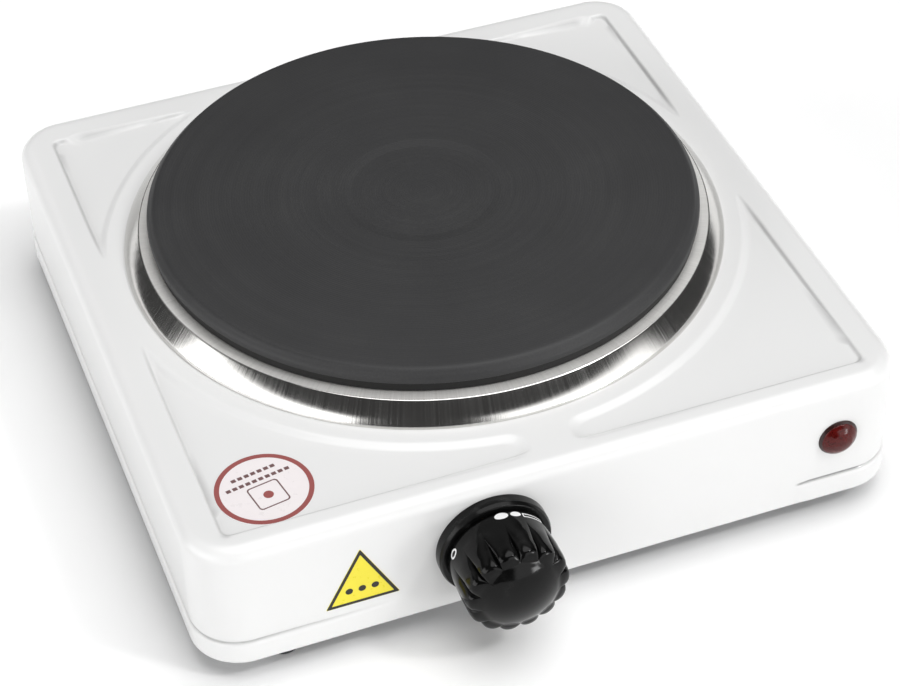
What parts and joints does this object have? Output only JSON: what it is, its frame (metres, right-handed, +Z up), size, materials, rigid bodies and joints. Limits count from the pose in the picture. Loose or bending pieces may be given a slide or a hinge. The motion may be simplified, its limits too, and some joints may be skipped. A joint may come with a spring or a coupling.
{
  "type": "hot plate burner",
  "caption": "Table-top electric cooking plate: cast iron disc in a steel trim ring on a pressed white housing, with a thermostat knob and a pilot lamp.",
  "frame": {"origin": "under the middle of the whole object, on the surface that the feet stand on", "axes": "+Z up; +Y from the knob at the front to the cable gland at the rear; +X to the right seen from the front"},
  "size_m": [0.236, 0.2648, 0.0701],
  "materials": {
    "white_enamel": "glossy baked enamel",
    "galvanised_steel": "galvanised sheet",
    "zinc_steel": "zinc plated",
    "black_rubber": "matte",
    "cast_iron": "turned face with a matte heat-proof coating",
    "stainless_steel": "polished, with circular grain",
    "heating_alloy": "oxidised",
    "ceramic": "unglazed ceramic",
    "brass": "plain",
    "spring_steel": "blued",
    "black_plastic": "glossy moulded phenolic",
    "red_lens": "translucent glossy",
    "clear_glass": "clear",
    "brown_wire": "fibreglass sleeve",
    "blue_wire": "fibreglass sleeve",
    "green_wire": "fibreglass sleeve",
    "white_wire": "fibreglass sleeve",
    "label_film": "satin film",
    "yellow_film": "satin film"
  },
  "bodies": {
    "housing": {"base_label": "label_film", "base_plate": "galvanised_steel", "bimetal_strip": "spring_steel", "blade_root": "spring_steel", "bush_nut": "brass", "cable_gland": "black_plastic", "centre_stud": "zinc_steel", "ceramic_insulators": "ceramic", "clamp_bridge": "galvanised_steel", "coil_filling_inner": "ceramic", "coil_filling_outer": "ceramic", "corner_brackets": "galvanised_steel", "earth_screw": "zinc_steel", "earth_tag": "brass", "fixed_contact": "brass", "foot_front_left": "black_rubber", "foot_front_right": "black_rubber", "foot_rear_left": "black_rubber", "foot_rear_right": "black_rubber", "foot_screws": "zinc_steel", "heating_coil_inner": "heating_alloy", "heating_coil_outer": "heating_alloy", "hotplate": "cast_iron", "knob_bezel": "black_plastic", "lamp_clip": "spring_steel", "lamp_lens": "red_lens", "lamp_sleeve": "black_plastic", "lamp_wire_left": "white_wire", "lamp_wire_right": "white_wire", "mains_terminal_block": "ceramic", "mains_terminal_screws": "brass", "neon_bulb": "clear_glass", "plate_cover": "galvanised_steel", "plate_terminal_block": "ceramic", "plate_terminal_pins": "brass", "round_label": "label_film", "stack_rivet": "zinc_steel", "stud_nut": "zinc_steel", "stud_washer": "zinc_steel", "thermostat_bush": "brass", "thermostat_frame": "galvanised_steel", "top_housing": "white_enamel", "triangle_label": "yellow_film", "trim_ring": "stainless_steel", "wire_earth": "green_wire", "wire_live": "brown_wire", "wire_load": "brown_wire", "wire_neutral": "blue_wire"},
    "knob": {"knob": "black_plastic", "knob_spring_clip": "spring_steel", "spindle": "zinc_steel", "stop_disc": "zinc_steel"},
    "push_pin": {"push_pin": "ceramic"},
    "contact_blade": {"contact_blade": "spring_steel"}
  },
  "joints": [
    {"name": "knob_turn", "type": "hinge", "parent": "housing", "child": "knob", "pos_m": [-0.0242, -0.10395, 0.0309], "axis": [0, -1, 0], "range_deg": [-78, 212]},
    {"name": "pin_travel", "type": "slide", "parent": "housing", "child": "push_pin", "axis": [0, 1, 0], "range_m": [-0.00062, 0.00025]},
    {"name": "blade_flex", "type": "hinge", "parent": "housing", "child": "contact_blade", "pos_m": [-0.0402, -0.08545, 0.0309], "axis": [0, 0, 1], "range_deg": [-2.3, 1]}
  ],
  "couplings": [
    {"joint": "pin_travel", "follows": "knob_turn", "m_per_rad": -0.00015806},
    {"joint": "blade_flex", "follows": "knob_turn", "ratio": -0.0098786}
  ]
}
